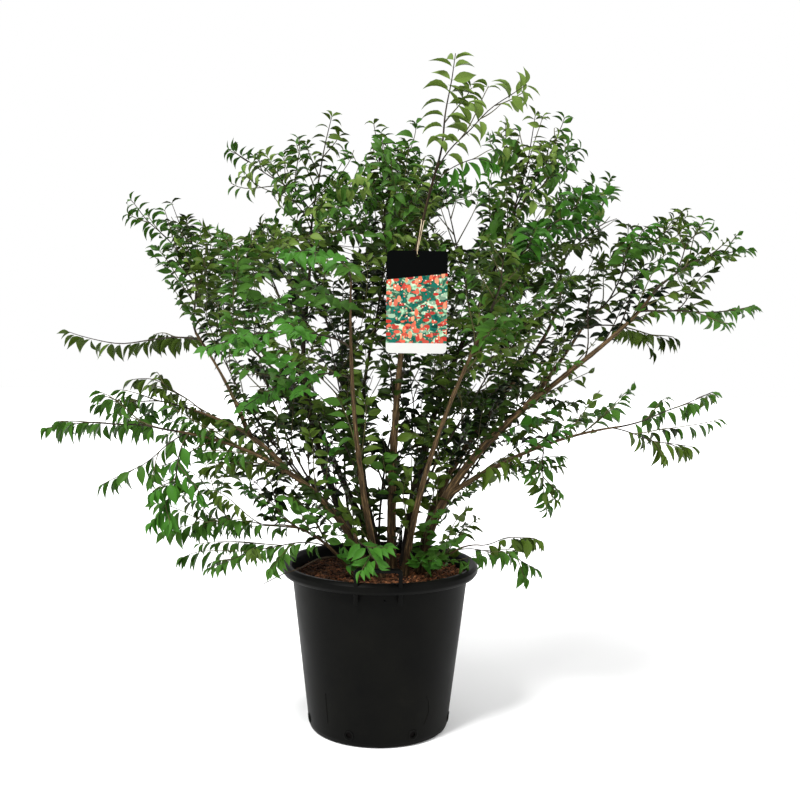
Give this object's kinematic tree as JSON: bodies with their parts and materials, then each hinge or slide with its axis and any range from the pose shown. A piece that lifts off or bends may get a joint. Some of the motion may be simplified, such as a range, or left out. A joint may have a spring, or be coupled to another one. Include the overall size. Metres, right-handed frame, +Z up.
{
  "type": "potted burning bush shrub",
  "caption": "Burning bush shrub in green leaf, with stems spreading from the soil of a black nursery pot with grip handles, and a hanging picture label.",
  "frame": {"origin": "middle of the flat underside of the pot", "axes": "+Z up, -Y the front, the side that the picture label faces, +X to the right seen from the front"},
  "size_m": [1.415, 1.0218, 1.325],
  "materials": {
    "black_plastic": "semi-matte moulded black, faintly olive at the edges",
    "bark_mulch": "rough red-brown bark chips and fibre",
    "bark": "ridged olive to golden-brown bark",
    "leaves_bright": "satin bright green leaves of the front sprays",
    "leaves_green": "satin mid green leaves",
    "leaves_dark": "satin dark green leaves of the inner and back sprays",
    "label_card": "printed plastic card with a soft gloss",
    "label_tie": "pale beige tie"
  },
  "bodies": {
    "root": {"pot": "black_plastic", "soil": "bark_mulch", "stem_centre": "bark", "stem_front_right": "bark", "stem_right_dark": "bark", "stem_right_main": "bark", "stem_right_back": "bark", "stem_left_low": "bark", "stem_left_leader": "bark", "stem_front_left": "bark", "stem_inner": "bark", "stem_back_left": "bark", "stem_back_right": "bark", "bough_left_upper": "bark", "bough_left_rise": "bark", "bough_right_rise": "bark", "arm_right": "bark", "shoot_low_left": "bark", "shoot_low_right": "bark", "shoot_low_front": "bark", "leader_top": "leaves_green", "leader_second": "leaves_green", "leader_left": "leaves_green", "top_centre": "leaves_green", "top_left": "leaves_green", "top_right": "leaves_green", "right_top": "leaves_green", "left_shoulder": "leaves_green", "left_tip": "leaves_green", "mid_left": "leaves_green", "mid_centre": "leaves_green", "mid_right": "leaves_green", "right_outer": "leaves_green", "right_shoulder": "leaves_green", "right_tip_high": "leaves_green", "right_tip_mid": "leaves_green", "arm_right_tip": "leaves_green", "right_low": "leaves_green", "right_hanging": "leaves_green", "centre_right": "leaves_green", "left_lower": "leaves_green", "arm_left_upper": "leaves_green", "arm_left": "leaves_green", "left_pad": "leaves_green", "left_drop": "leaves_green", "left_low": "leaves_green", "low_left": "leaves_green", "low_right": "leaves_green", "low_front": "leaves_bright", "front_left_top": "leaves_bright", "front_left_mid": "leaves_bright", "front_left": "leaves_bright", "front_right": "leaves_bright", "back_top": "leaves_dark", "back_left": "leaves_dark", "back_right": "leaves_dark", "back_low_left": "leaves_dark", "back_low_right": "leaves_dark", "label_card": "label_card", "label_tie": "label_tie"}
  },
  "joints": []
}
